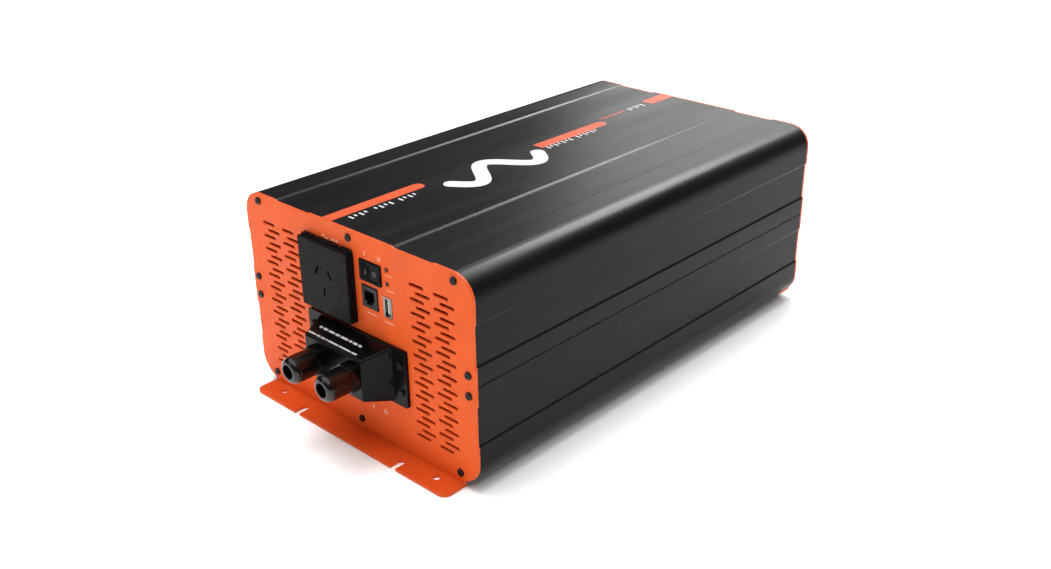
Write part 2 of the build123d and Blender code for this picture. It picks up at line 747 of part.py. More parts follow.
def fan_rotor(x):
    """Fan hub, blades and shaft."""
    hub_back = fan_depth - spider_thickness - fan_hub_gap
    hub_front = hub_back - rotor_length + 2.0
    middle = (hub_back + hub_front) / 2
    blade_span = fan_bore_radius - fan_tip_gap
    with BuildPart() as rotor:
        with BuildSketch(fan_plane(x, hub_back)):
            Circle(fan_hub_radius)
        extrude(amount=hub_back - hub_front)
        fillet(rotor.faces().sort_by(Axis.Y)[-1].edges(), 1.5)
        with BuildSketch(fan_plane(x, hub_back)):
            Circle(fan_hub_radius - 1.5)
        extrude(amount=hub_back - hub_front - 2.0, mode=Mode.SUBTRACT)
        with Locations(fan_plane(x, middle)):
            with PolarLocations((fan_hub_radius + blade_span) / 2, fan_blades):
                Box(blade_span - fan_hub_radius + 2 * blade_root, blade_thickness, rotor_length,
                    rotation=(blade_pitch, 0, 0))
        with BuildSketch(fan_plane(x, fan_depth)):
            Circle(blade_span)
        extrude(amount=fan_depth, mode=Mode.INTERSECT)
        with BuildSketch(fan_plane(x, hub_back)):
            Circle(fan_hub_radius - 1.5)
        extrude(amount=hub_back - hub_front - 2.0, mode=Mode.SUBTRACT)
        with BuildSketch(fan_plane(x, hub_front + 1.0)):
            Circle(fan_shaft_radius)
        extrude(amount=-(hub_back - hub_front))
    return rotor


left_fan_frame = fan_frame(fan_places["left_fan"])
right_fan_frame = fan_frame(fan_places["right_fan"])
left_fan_rotor = fan_rotor(fan_places["left_fan"])
right_fan_rotor = fan_rotor(fan_places["right_fan"])

guard_pitch = 6.6
guard_inner_radius = 9.0     # least radius of the innermost ring
guard_out = 2.6
guard_outer_radius = fan_bore_radius - 0.5
guard_rings = 1 + int((guard_outer_radius - guard_inner_radius) // guard_pitch)
eyelet_radius = 3.4
fan_screw_head = 2.9
with BuildPart() as fan_guards:
    for x in fan_places.values():
        with Locations(rear_plane(x, fan_z, guard_out)):
            for ring in range(guard_rings):
                Torus(guard_outer_radius - ring * guard_pitch, guard_wire)
            reach = (2 ** 0.5) * fan_hole_offset - eyelet_radius + 0.8
            with PolarLocations(reach / 2, 4, start_angle=45):
                Box(reach, 2 * guard_wire, guard_wire)
    with Locations(*[rear_plane(x, z) for x, z in fan_screw_places]):
        Cylinder(eyelet_radius, guard_out + guard_wire / 2, align=STANDING)
        Cylinder(screw_hole_radius, 3 * guard_out, mode=Mode.SUBTRACT)

fan_screws = pan_screws([rear_plane(x, z, guard_out + guard_wire / 2) for x, z in fan_screw_places],
                        fan_screw_head, 2.0, screw_hole_radius - 0.1, 15.0)

# ---------------------------------------------------------------- DC and earth terminals
bush_length = 5.0
collar_thickness = 4.0


def dc_stud(x):
    """Threaded input stud with a hexagonal collar clamped behind the bush."""
    with BuildPart() as stud:
        with BuildSketch(rear_plane(x, dc_z, stud_out)):
            Circle(stud_radius)
        extrude(amount=-(stud_out + stud_in))
        chamfer(stud.faces().sort_by(Axis.Y)[-1].edges(), 0.8)
        with BuildSketch(rear_plane(x, dc_z, -sheet - bush_length)):
            RegularPolygon(dc_nut_flats / 2, 6, major_radius=False)
        extrude(amount=-collar_thickness)
        nut_front = dc_base_out + washer_thickness + dc_nut_thickness
        with BuildSketch(rear_plane(x, dc_z, nut_front)):
            Circle(stud_radius + 1)
            Circle(stud_radius - relief_depth, mode=Mode.SUBTRACT)
        extrude(amount=relief_width, mode=Mode.SUBTRACT)
    return stud


def dc_base(x):
    """Insulating base on the panel with a bush through it."""
    with BuildPart() as base:
        with BuildSketch(rear_plane(x, dc_z)):
            RectangleRounded(dc_base_size, dc_base_size, 3.0)
        extrude(amount=dc_base_out)
        chamfer(base.faces().sort_by(Axis.Y)[-1].edges(), 0.8)
        with BuildSketch(rear_plane(x, dc_z)):
            Circle(stud_bush_radius)
        extrude(amount=-(sheet + bush_length))
        with BuildSketch(rear_plane(x, dc_z, dc_base_out)):
            Circle(stud_radius)
        extrude(amount=-(dc_base_out + sheet + bush_length), mode=Mode.SUBTRACT)
    return base


dc_positive_stud = dc_stud(dc_x)
dc_negative_stud = dc_stud(-dc_x)
dc_positive_base = dc_base(dc_x)
dc_negative_base = dc_base(-dc_x)

with BuildPart() as dc_washers:
    for x in (-dc_x, dc_x):
        with BuildSketch(rear_plane(x, dc_z, dc_base_out)):
            Circle(2 * stud_radius)
            Circle(stud_radius, mode=Mode.SUBTRACT)
        extrude(amount=washer_thickness)

with BuildPart() as dc_nuts:
    for x in (-dc_x, dc_x):
        with BuildSketch(rear_plane(x, dc_z, dc_base_out + washer_thickness)):
            RegularPolygon(dc_nut_flats / 2, 6, major_radius=False)
            Circle(dc_nut_flats / 2 * 1.1, mode=Mode.INTERSECT)
            Circle(stud_radius, mode=Mode.SUBTRACT)
        extrude(amount=dc_nut_thickness)

earth_nut_flats = 8.0
earth_nut_thickness = 4.0
earth_out = 14.0
with BuildPart() as earth_stud:
    with BuildSketch(rear_plane(earth_x, dc_z, earth_out)):
        Circle(earth_radius)
    extrude(amount=-(earth_out + sheet + earth_nut_thickness))
    chamfer(earth_stud.faces().sort_by(Axis.Y)[-1].edges(), 0.5)
    with BuildSketch(rear_plane(earth_x, dc_z, earth_nut_thickness)):
        Circle(earth_radius + 1)
        Circle(earth_radius - relief_depth, mode=Mode.SUBTRACT)
    extrude(amount=relief_width, mode=Mode.SUBTRACT)

with BuildPart() as earth_nuts:
    for out in (0.0, -sheet - earth_nut_thickness):
        with BuildSketch(rear_plane(earth_x, dc_z, out)):
            RegularPolygon(earth_nut_flats / 2, 6, major_radius=False)
            Circle(earth_radius, mode=Mode.SUBTRACT)
        extrude(amount=earth_nut_thickness)

# ---------------------------------------------------------------- boards
board_width = body_width - 2 * wall - 2 * board_side_gap
board_length = body_length - 2 * board_end_gap
board_front = -board_length / 2
board_rear = board_length / 2
standoff_inset_x, standoff_inset_y = 12.0, 8.0
standoff_columns = (standoff_inset_x - board_width / 2, board_width / 2 - standoff_inset_x)
standoff_rows = 4
standoff_pitch = (board_length - 2 * standoff_inset_y) / (standoff_rows - 1)
standoff_places = [
    (x, board_front + standoff_inset_y + row * standoff_pitch)
    for x in standoff_columns
    for row in range(standoff_rows)
]


def upright(x, y, z):
    """Plane facing up at a point."""
    return Plane.XY.move(Location((x, y, z)))


with BuildPart() as main_board:
    with BuildSketch(Plane.XY.offset(board_z)):
        RectangleRounded(board_width, board_length, 2.0)
        with Locations(*standoff_places):
            Circle(board_screw_radius + 0.2, mode=Mode.SUBTRACT)
    extrude(amount=board_thickness)

with BuildPart() as board_standoffs:
    with Locations(*[upright(x, y, inner_floor) for x, y in standoff_places]):
        Cylinder(standoff_radius, standoff_height, align=STANDING)
    with Locations(*[upright(x, y, board_z) for x, y in standoff_places]):
        Cylinder(board_screw_radius, 14.0, mode=Mode.SUBTRACT)

board_screws = pan_screws([upright(x, y, board_top) for x, y in standoff_places], 2.8, 1.8,
                          board_screw_radius - 0.1, 6.0)

with BuildPart() as insulation_sheet:
    with BuildSketch(Plane.XY.offset(board_z - sheet_drop)):
        Rectangle(board_width - 4.0, board_length - 4.0)
        with Locations(*standoff_places):
            Circle(standoff_radius + 1.0, mode=Mode.SUBTRACT)
    extrude(amount=sheet_thickness)

# ---------------------------------------------------------------- power stage, from the rear forward
heatsink_width, heatsink_height = 18.0, 58.0
heatsink_base = 5.0
fin_thickness, fin_pitch = 1.8, 6.0
heatsink_x = board_width / 2 - standoff_inset_x - standoff_radius - heatsink_width / 2 - 2.0
heatsink_length = board_length - 96.0
heatsink_face = heatsink_x - heatsink_width / 2
fins = int((heatsink_height - fin_thickness) // fin_pitch) + 1
device_width, device_height, device_thickness = 15.8, 20.5, 5.0
device_pitch = 22.0
device_lift = 14.0
devices = int((heatsink_length - device_width) // device_pitch) + 1
clamp_thickness = 1.5
clamp_gap = 2.0              # from the clamps to what stands between them
stage_width = 2 * (heatsink_face - device_thickness - clamp_thickness - clamp_gap)


with BuildPart() as heatsinks:
    with BuildSketch(Plane.XZ.offset(-heatsink_length / 2)):
        for side in (-1, 1):
            with Locations((side * (heatsink_face + heatsink_base / 2), board_top + heatsink_height / 2)):
                Rectangle(heatsink_base, heatsink_height)
            for fin in range(fins):
                with Locations((side * heatsink_x, board_top + fin_thickness / 2 + fin * fin_pitch)):
                    Rectangle(heatsink_width, fin_thickness)
    extrude(amount=heatsink_length)

device_places = [
    (side, (i - (devices - 1) / 2) * device_pitch)
    for side in (-1, 1)
    for i in range(devices)
]
with BuildPart() as power_transistors:
    for side, y in device_places:
        x = side * (heatsink_face - device_thickness / 2)
        with Locations((x, y, board_top + device_lift)):
            Box(device_thickness, device_width, device_height, align=STANDING)
        with Locations(*[(x, y + lead, board_top) for lead in (-5.4, 0.0, 5.4)]):
            Box(0.6, 1.2, device_lift, align=STANDING)

with BuildPart() as transistor_clamps:
    for side in (-1, 1):
        x = side * (heatsink_face - device_thickness - clamp_thickness / 2)
        with Locations((x, 0, board_top + device_lift + 6.0)):
            Box(clamp_thickness, heatsink_length - 6.0, 9.0, align=STANDING)

fuse_pitch = 15.0
fuse_y = board_rear - 30.0
with BuildPart() as input_fuses:
    with Locations((0, fuse_y, board_top)):
        with GridLocations(fuse_pitch, 0, 4, 1):
            Box(5.2, 19.0, 15.0, align=STANDING)
    fillet(input_fuses.edges().filter_by(Axis.Z), 1.0)

input_capacitor_radius, input_capacitor_height = 8.0, 30.0
input_capacitor_pitch = 18.0
capacitor_rows = 2
capacitor_columns = 1 + int((stage_width - 2 * input_capacitor_radius) // input_capacitor_pitch)
input_capacitor_y = fuse_y - 12.0 - capacitor_rows * input_capacitor_pitch / 2 - 3.0
with BuildPart() as input_capacitors:
    with Locations((0, input_capacitor_y, board_top)):
        with GridLocations(input_capacitor_pitch, input_capacitor_pitch, capacitor_columns, capacitor_rows):
            Cylinder(input_capacitor_radius, input_capacitor_height, align=STANDING)
    fillet(input_capacitors.edges().group_by(Axis.Z)[-1], 0.8)

core_width, core_depth, core_height = 44.0, 20.0, 42.0
core_leg = 13.0
core_window = 9.5
core_yoke = 7.0
transformer_pitch_x, transformer_pitch_y = 52.0, 44.0
transformer_columns = 1 + int(max(0, stage_width - core_width) // transformer_pitch_x)
choke_radius = 27.0
bus_capacitor_radius, bus_capacitor_height = 13.0, 46.0
bus_capacitor_pitch = 27.5
bus_capacitor_columns = 1 + int((stage_width - 2 * bus_capacitor_radius) // bus_capacitor_pitch)
front_reserve = 28.0         # for the control board and the leads
choke_y = board_front + front_reserve + choke_radius + 10.0
bus_capacitor_y = choke_y + choke_radius + bus_capacitor_radius + 4.0
transformer_room = (input_capacitor_y - capacitor_rows * input_capacitor_pitch / 2
                    - bus_capacitor_y - bus_capacitor_radius - 4.0)
transformer_rows = max(1, int(transformer_room // transformer_pitch_y))
transformer_y = bus_capacitor_y + bus_capacitor_radius + 2.0 + transformer_room / 2
winding_gap = 0.3
transformer_grid = (transformer_pitch_x, transformer_pitch_y, transformer_columns, transformer_rows)

with BuildPart() as transformer_cores:
    with Locations((0, transformer_y, board_top)):
        with GridLocations(*transformer_grid):
            Box(core_width, core_depth, core_height, align=STANDING)
            with Locations((-(core_leg + core_window) / 2, 0, core_yoke),
                           ((core_leg + core_window) / 2, 0, core_yoke)):
                Box(core_window, 2 * core_depth, core_height - 2 * core_yoke, align=STANDING,
                    mode=Mode.SUBTRACT)

winding_height = core_height - 2 * core_yoke - 2 * winding_gap
with BuildPart() as transformer_windings:
    with BuildSketch(Plane.XY.offset(board_top + core_yoke + winding_gap)):
        with Locations((0, transformer_y)):
            with GridLocations(*transformer_grid):
                RectangleRounded(core_leg + 2 * core_window - 2 * winding_gap, core_depth + 16.0, 6.0)
                Rectangle(core_leg + 2 * winding_gap, core_depth + 2 * winding_gap, mode=Mode.SUBTRACT)
    extrude(amount=winding_height)

with BuildPart() as bus_capacitors:
    with Locations((0, bus_capacitor_y, board_top)):
        with GridLocations(bus_capacitor_pitch, 0, bus_capacitor_columns, 1):
            Cylinder(bus_capacitor_radius, bus_capacitor_height, align=STANDING)
    fillet(bus_capacitors.edges().group_by(Axis.Z)[-1], 1.2)

choke_bore, choke_height = 14.0, 22.0
winding_thickness = 2.5
choke_z = board_top + choke_height / 2 + winding_thickness
with BuildPart() as output_choke_core:
    with BuildSketch(Plane.XY.offset(choke_z - choke_height / 2)):
        with Locations((0, choke_y)):
            Circle(choke_radius)
            Circle(choke_bore, mode=Mode.SUBTRACT)
    extrude(amount=choke_height)

turns = 18
turn_width = 3.2
with BuildPart() as output_choke_winding:
    with Locations((0, choke_y, choke_z)):
        with PolarLocations((choke_radius + choke_bore) / 2, turns):
            Box(choke_radius - choke_bore + 2 * winding_thickness, turn_width,
                choke_height + 2 * winding_thickness)
            Box(choke_radius - choke_bore, 2 * turn_width, choke_height, mode=Mode.SUBTRACT)
    with BuildSketch(Plane.XY.offset(choke_z - choke_height / 2)):
        with Locations((0, choke_y)):
            Circle(choke_radius)
            Circle(choke_bore, mode=Mode.SUBTRACT)
    extrude(amount=choke_height, mode=Mode.SUBTRACT)

control_width, control_height = 96.0, 48.0
control_y = board_front + front_reserve - 6.0
with BuildPart() as control_board:
    with Locations((0, control_y, board_top)):
        Box(control_width, board_thickness, control_height, align=STANDING)

# ---------------------------------------------------------------- conductors
busbar_width, busbar_thickness = 18.0, 2.5
busbar_y = rear_y - sheet - bush_length - collar_thickness
busbar_foot = busbar_y - board_rear + 26.0


def busbar(x):
    """Copper bar from a stud's collar down to the board and along it."""
    with BuildPart() as bar:
        with BuildSketch(Plane.YZ.offset(x - busbar_width / 2)):
            with BuildLine():
                Polyline(
                    (busbar_y, dc_z + busbar_width / 2),
                    (busbar_y - busbar_thickness, dc_z + busbar_width / 2),
                    (busbar_y - busbar_thickness, board_top + busbar_thickness),
                    (busbar_y - busbar_foot, board_top + busbar_thickness),
                    (busbar_y - busbar_foot, board_top),
                    (busbar_y, board_top),
                    close=True,
                )
            make_face()
        extrude(amount=busbar_width)
        with BuildSketch(rear_plane(x, dc_z, busbar_y - rear_y)):
            Circle(stud_radius)
        extrude(amount=-busbar_thickness, mode=Mode.SUBTRACT)
    return bar


positive_busbar = busbar(dc_x)
negative_busbar = busbar(-dc_x)

lead_radius = 1.8
lead_bend = 8.0
lead_setback = 12.0          # from the front edge of the main board


def lead(x, z, end_y):
    """Insulated lead from the board up and forward to a point at height z."""
    start = (x, board_front + lead_setback, board_top)
    corner = (x, board_front + lead_setback, z)
    end = (x, end_y, z)
    with BuildPart() as wire:
        with BuildLine():
            FilletPolyline(start, corner, end, radius=lead_bend)
        with BuildSketch(Plane.XY.move(Location(start))):
            Circle(lead_radius)
        sweep()
    return wire


outlet_lead_spacing = 14.0
with BuildPart() as ac_leads:
    for column in (-1, 0, 1):
        add(lead(cover_x + column * block_width / 3, cover_z, front_y).part)
        add(lead(outlet_x + column * outlet_lead_spacing, outlet_z, front_y + outlet_depth).part)

# ---------------------------------------------------------------- files
pieces = {
    "front_panel": front_panel,
    "rear_panel": rear_panel,
    "upper_housing": upper_housing,
    "lower_housing": lower_housing,
    "front_panel_screws": front_panel_screws,
    "rear_panel_screws": rear_panel_screws,
    "outlet_body": outlet_body,
    "outlet_contacts": outlet_contacts,
    "switch_frame": switch_frame,
    "switch_rocker": switch_rocker,
    "switch_terminals": switch_terminals,
    "remote_jack": remote_jack,
    "jack_contacts": jack_contacts,
    "usb_shell": usb_shell,
    "usb_tongue": usb_tongue,
    "indicator_lamps": indicator_lamps,
    "interface_board": interface_board,
    "terminal_cover": terminal_cover,
    "terminal_cover_screws": terminal_cover_screws,
    "left_gland_body": left_gland_body,
    "right_gland_body": right_gland_body,
    "left_gland_nut": left_gland_nut,
    "right_gland_nut": right_gland_nut,
    "gland_seals": gland_seals,
    "gland_locknuts": gland_locknuts,
    "ac_terminal_block": ac_terminal_block,
    "ac_terminal_screws": ac_terminal_screws,
    "left_fan_frame": left_fan_frame,
    "right_fan_frame": right_fan_frame,
    "left_fan_rotor": left_fan_rotor,
    "right_fan_rotor": right_fan_rotor,
    "fan_guards": fan_guards,
    "fan_screws": fan_screws,
    "dc_positive_stud": dc_positive_stud,
    "dc_negative_stud": dc_negative_stud,
    "dc_positive_base": dc_positive_base,
    "dc_negative_base": dc_negative_base,
    "dc_washers": dc_washers,
    "dc_nuts": dc_nuts,
    "earth_stud": earth_stud,
    "earth_nuts": earth_nuts,
    "main_board": main_board,
    "board_standoffs": board_standoffs,
    "board_screws": board_screws,
    "insulation_sheet": insulation_sheet,
    "heatsinks": heatsinks,
    "power_transistors": power_transistors,
    "transistor_clamps": transistor_clamps,
    "input_fuses": input_fuses,
    "input_capacitors": input_capacitors,
    "transformer_cores": transformer_cores,
    "transformer_windings": transformer_windings,
    "bus_capacitors": bus_capacitors,
    "output_choke_core": output_choke_core,
    "output_choke_winding": output_choke_winding,
    "control_board": control_board,
    "positive_busbar": positive_busbar,
    "negative_busbar": negative_busbar,
    "ac_leads": ac_leads,
}
for name, builder in pieces.items():
    save(builder, name)
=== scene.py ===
from math import cos, pi, radians, sin

import bmesh
import bpy
from mathutils import Matrix, Vector


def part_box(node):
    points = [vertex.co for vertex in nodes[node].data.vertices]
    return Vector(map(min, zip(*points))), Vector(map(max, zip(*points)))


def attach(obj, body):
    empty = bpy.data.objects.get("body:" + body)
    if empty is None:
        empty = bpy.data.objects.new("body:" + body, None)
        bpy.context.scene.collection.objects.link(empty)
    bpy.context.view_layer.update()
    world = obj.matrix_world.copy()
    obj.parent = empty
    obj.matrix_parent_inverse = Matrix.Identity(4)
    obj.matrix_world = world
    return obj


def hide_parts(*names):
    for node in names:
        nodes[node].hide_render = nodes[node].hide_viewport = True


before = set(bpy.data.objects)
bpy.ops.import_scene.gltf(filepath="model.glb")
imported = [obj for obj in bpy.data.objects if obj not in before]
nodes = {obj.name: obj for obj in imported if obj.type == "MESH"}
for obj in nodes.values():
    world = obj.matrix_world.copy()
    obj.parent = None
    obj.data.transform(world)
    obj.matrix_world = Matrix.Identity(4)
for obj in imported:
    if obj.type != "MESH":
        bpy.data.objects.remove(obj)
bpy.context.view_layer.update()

MM = 0.001
FRONT_FACE = -0.193          # outer faces of the two end panels along y, in metres
REAR_FACE = 0.193
BEVEL_SAMPLES = 4
scene = bpy.context.scene
scene.view_settings.view_transform = "Standard"
scene.view_settings.look = "None"


# ---------------------------------------------------------------- materials
def srgb(red, green, blue):
    """Linear colour of an 8-bit sRGB one."""
    return tuple((c / 255 / 12.92) if c <= 10 else ((c / 255 + 0.055) / 1.055) ** 2.4
                 for c in (red, green, blue)) + (1.0,)


def scaled(colour, factor):
    return tuple(min(1.0, c * factor) for c in colour[:3]) + (1.0,)


class Finish:
    """A procedural material: tint, roughness, grain and worn edges on one Principled shader."""

    def __init__(self, name, colour, roughness, metallic=0.0, specular=0.5, coat=0.0):
        self.material = bpy.data.materials.new(name)
        self.material.use_nodes = True
        self.tree = self.material.node_tree
        self.shader = self.tree.nodes["Principled BSDF"]
        self.colour = colour
        self.colour_from = None
        self.normal_from = None
        self.shader.inputs["Base Color"].default_value = colour
        self.shader.inputs["Roughness"].default_value = roughness
        self.shader.inputs["Metallic"].default_value = metallic
        self.shader.inputs["Specular IOR Level"].default_value = specular
        self.shader.inputs["Coat Weight"].default_value = coat
        self.place = self.tree.nodes.new("ShaderNodeTexCoord").outputs["Object"]
        self.roughness = roughness

    def node(self, kind, **inputs):
        made = self.tree.nodes.new(kind)
        for key, value in inputs.items():
            made.inputs[key.replace("_", " ")].default_value = value
        return made

    def link(self, source, target):
        self.tree.links.new(source, target)

    def stretched(self, stretch):
        """Object coordinates scaled apart along the three axes."""
        if stretch is None:
            return self.place
        mapping = self.node("ShaderNodeMapping", Scale=stretch)
        self.link(self.place, mapping.inputs["Vector"])
        return mapping.outputs["Vector"]

    def noise(self, scale, detail=3.0, low=0.35, high=0.65, stretch=None):
        """Noise from 0 to 1, between its low and high values; scale is in features per metre."""
        noise = self.node("ShaderNodeTexNoise", Scale=scale, Detail=detail)
        self.link(self.stretched(stretch), noise.inputs["Vector"])
        spread = self.node("ShaderNodeMapRange", From_Min=low, From_Max=high)
        self.link(noise.outputs["Fac"], spread.inputs["Value"])
        return spread.outputs["Result"]

    def paint(self, mask, colour, amount=1.0):
        """Lay a second colour over the base where the mask is."""
        mix = self.tree.nodes.new("ShaderNodeMix")
        mix.data_type = "RGBA"
        strength = self.node("ShaderNodeMapRange", To_Max=amount)
        self.link(mask, strength.inputs["Value"])
        self.link(strength.outputs["Result"], mix.inputs["Factor"])
        if self.colour_from is None:
            mix.inputs["A"].default_value = self.colour
        else:
            self.link(self.colour_from, mix.inputs["A"])
        mix.inputs["B"].default_value = colour
        self.colour_from = mix.outputs["Result"]
        self.link(self.colour_from, self.shader.inputs["Base Color"])
        return self

    def tint(self, scale=30.0, amount=0.12, stretch=None, detail=4.0):
        """Cloudy lighter and darker patches."""
        self.paint(self.noise(scale, detail, stretch=stretch), scaled(self.colour, 1.0 + amount))
        self.paint(self.noise(scale * 2.7, detail, 0.5, 0.75, stretch), scaled(self.colour, 1.0 - amount))
        return self

    def speckle(self, scale, colour, amount, low=0.62, high=0.72):
        """Fine grains of another colour."""
        return self.paint(self.noise(scale, 1.0, low, high), colour, amount)

    def uneven(self, scale=40.0, spread=0.06, stretch=None):
        """Roughness that varies over the surface."""
        wanted = self.node("ShaderNodeMapRange",
                           To_Min=self.roughness - spread, To_Max=self.roughness + spread)
        self.link(self.noise(scale, 3.0, stretch=stretch), wanted.inputs["Value"])
        self.link(wanted.outputs["Result"], self.shader.inputs["Roughness"])
        return self

    def edge_normal(self, radius):
        """The surface's normal as if its edges had this radius in metres."""
        bevel = self.node("ShaderNodeBevel", Radius=radius)
        bevel.samples = BEVEL_SAMPLES
        return bevel.outputs["Normal"]

    def product(self, first, second):
        """One mask times another."""
        times = self.tree.nodes.new("ShaderNodeMath")
        times.operation = "MULTIPLY"
        self.link(first, times.inputs[0])
        self.link(second, times.inputs[1])
        return times.outputs["Value"]

    def rounded(self, radius):
        """Soft edges, shaded as if they had this radius in metres."""
        self.normal_from = self.edge_normal(radius)
        self.link(self.normal_from, self.shader.inputs["Normal"])
        return self

    def bumps(self, scale, depth, detail=2.0, stretch=None, strength=1.0):
        """Fine relief, depth in metres."""
        noise = self.node("ShaderNodeTexNoise", Scale=scale, Detail=detail)
        self.link(self.stretched(stretch), noise.inputs["Vector"])
        bump = self.node("ShaderNodeBump", Strength=strength, Distance=depth)
        self.link(noise.outputs["Fac"], bump.inputs["Height"])
        if self.normal_from is not None:
            self.link(self.normal_from, bump.inputs["Normal"])
        self.normal_from = bump.outputs["Normal"]
        self.link(self.normal_from, self.shader.inputs["Normal"])
        return self

    def worn(self, colour, amount=0.5, width=0.0006, scale=220.0):
        """Edges rubbed to another colour, in patches; width is in metres."""
        normal = self.tree.nodes.new("ShaderNodeNewGeometry").outputs["Normal"]
        turn = self.tree.nodes.new("ShaderNodeVectorMath")
        turn.operation = "DOT_PRODUCT"
        self.link(self.edge_normal(width), turn.inputs[0])
        self.link(normal, turn.inputs[1])
        edge = self.node("ShaderNodeMapRange", From_Min=0.995, From_Max=0.8)
        self.link(turn.outputs["Value"], edge.inputs["Value"])
        patches = self.noise(scale, 3.0, 0.4, 0.6)
        return self.paint(self.product(edge.outputs["Result"], patches), colour, amount)

    def dusty(self, colour, amount=0.15, scale=60.0):
        """Dust on the faces that look up."""
        normal = self.tree.nodes.new("ShaderNodeNewGeometry").outputs["Normal"]
        split = self.tree.nodes.new("ShaderNodeSeparateXYZ")
        self.link(normal, split.inputs["Vector"])
        upward = self.node("ShaderNodeMapRange", From_Min=0.5, From_Max=1.0)
        self.link(split.outputs["Z"], upward.inputs["Value"])
        specks = self.noise(scale, 5.0, 0.45, 0.7)
        return self.paint(self.product(upward.outputs["Result"], specks), colour, amount)


def dress(finish, *names):
    """Give the finish to every material slot of the named CAD nodes."""
    for name in names:
        for slot in nodes[name].material_slots:
            slot.material = finish.material


orange = Finish("panel_orange", srgb(236, 95, 38), 0.42, specular=0.12)
orange.tint(18.0, 0.05).uneven(60.0, 0.05).rounded(0.0006).bumps(1400.0, 0.00003)
orange.worn(srgb(250, 150, 105), 0.5)
dress(orange, "front_panel", "rear_panel")

housing = Finish("housing_black", srgb(20, 20, 21), 0.31, specular=0.09)
housing.tint(9.0, 0.12, (1.0, 0.15, 1.0)).speckle(1500.0, srgb(60, 60, 62), 0.3)
housing.uneven(50.0, 0.04, (1.0, 0.1, 1.0)).rounded(0.0006).bumps(2400.0, 0.00002)
housing.worn(srgb(120, 120, 122), 0.6)
dress(housing, "upper_housing", "lower_housing")

screw_black = Finish("screw_black", srgb(20, 20, 21), 0.36, metallic=0.4, specular=0.3)
screw_black.tint(300.0, 0.3).uneven(400.0, 0.08).bumps(1500.0, 0.00002).worn(srgb(130, 128, 122), 0.5)
dress(screw_black, "front_panel_screws", "rear_panel_screws", "terminal_cover_screws", "fan_screws")

outlet_black = Finish("outlet_black", srgb(17, 17, 18), 0.48, specular=0.06)
outlet_black.tint(60.0, 0.1).uneven(120.0, 0.05).rounded(0.0003).bumps(2200.0, 0.00002)
outlet_black.worn(srgb(92, 92, 92), 0.5)
dress(outlet_black, "outlet_body")

switch_black = Finish("switch_black", srgb(8, 8, 9), 0.3, specular=0.05)
switch_black.tint(90.0, 0.15).uneven(150.0, 0.06).rounded(0.0003).bumps(1800.0, 0.00001)
switch_black.worn(srgb(80, 80, 82), 0.4)
dress(switch_black, "switch_frame", "switch_rocker")

jack_black = Finish("jack_black", srgb(20, 20, 21), 0.42, specular=0.25)
jack_black.tint(120.0, 0.15).uneven(150.0, 0.06).rounded(0.0002).bumps(2200.0, 0.00002)
dress(jack_black, "remote_jack")

usb_steel = Finish("usb_steel", srgb(128, 127, 124), 0.2, metallic=1.0)
usb_steel.tint(200.0, 0.1).uneven(300.0, 0.08, (1.0, 1.0, 8.0)).bumps(900.0, 0.00001, 2.0, (6.0, 1.0, 1.0))
dress(usb_steel, "usb_shell")

usb_white = Finish("usb_tongue", srgb(206, 206, 202), 0.45)
usb_white.tint(200.0, 0.08).uneven(200.0, 0.06).bumps(1500.0, 0.00001)
dress(usb_white, "usb_tongue")

lamp = Finish("lamp_dark", srgb(86, 18, 14), 0.15, coat=0.4)
lamp.tint(600.0, 0.25).uneven(400.0, 0.05).bumps(900.0, 0.00001)
lamp.shader.inputs["Subsurface Weight"].default_value = 0.2
dress(lamp, "indicator_lamps")

cover_black = Finish("cover_black", srgb(9, 9, 10), 0.2, specular=0.12)
cover_black.tint(60.0, 0.2).uneven(90.0, 0.05).rounded(0.0004).bumps(160.0, 0.00004)
cover_black.worn(srgb(90, 90, 92), 0.35)
dress(cover_black, "terminal_cover")

gland_black = Finish("gland_black", srgb(12, 12, 13), 0.18, specular=0.45)
gland_black.tint(150.0, 0.2).uneven(200.0, 0.06).rounded(0.0003).bumps(1600.0, 0.00002)
gland_black.worn(srgb(84, 84, 86), 0.4)
dress(gland_black, "left_gland_body", "right_gland_body", "left_gland_nut", "right_gland_nut",
      "gland_locknuts")

rubber = Finish("seal_rubber", srgb(26, 26, 26), 0.62)
rubber.tint(200.0, 0.2).uneven(200.0, 0.08).bumps(1200.0, 0.00004)
dress(rubber, "gland_seals")

brass = Finish("contact_brass", srgb(196, 160, 100), 0.34, metallic=1.0)
brass.tint(160.0, 0.16).uneven(260.0, 0.1).rounded(0.0002).bumps(900.0, 0.00002)
brass.paint(brass.noise(90.0, 5.0, 0.5, 0.72), srgb(150, 108, 58), 0.5)
dress(brass, "outlet_contacts", "switch_terminals", "jack_contacts", "ac_terminal_screws", "dc_nuts",
      "dc_washers", "dc_positive_stud", "dc_negative_stud", "earth_stud", "earth_nuts")

block_cream = Finish("terminal_block", srgb(222, 222, 214), 0.5)
block_cream.tint(80.0, 0.06).uneven(120.0, 0.06).rounded(0.0003).bumps(1800.0, 0.00002)
dress(block_cream, "ac_terminal_block")

fan_black = Finish("fan_black", srgb(30, 30, 31), 0.5)
fan_black.tint(80.0, 0.15).uneven(120.0, 0.06).rounded(0.0003).bumps(1800.0, 0.00002)
fan_black.worn(srgb(84, 84, 84), 0.4).dusty(srgb(120, 114, 104), 0.3)
dress(fan_black, "left_fan_frame", "right_fan_frame", "left_fan_rotor", "right_fan_rotor")

chrome = Finish("guard_chrome", srgb(205, 207, 210), 0.16, metallic=1.0)
chrome.tint(120.0, 0.1).uneven(300.0, 0.07).bumps(700.0, 0.00001)
dress(chrome, "fan_guards")

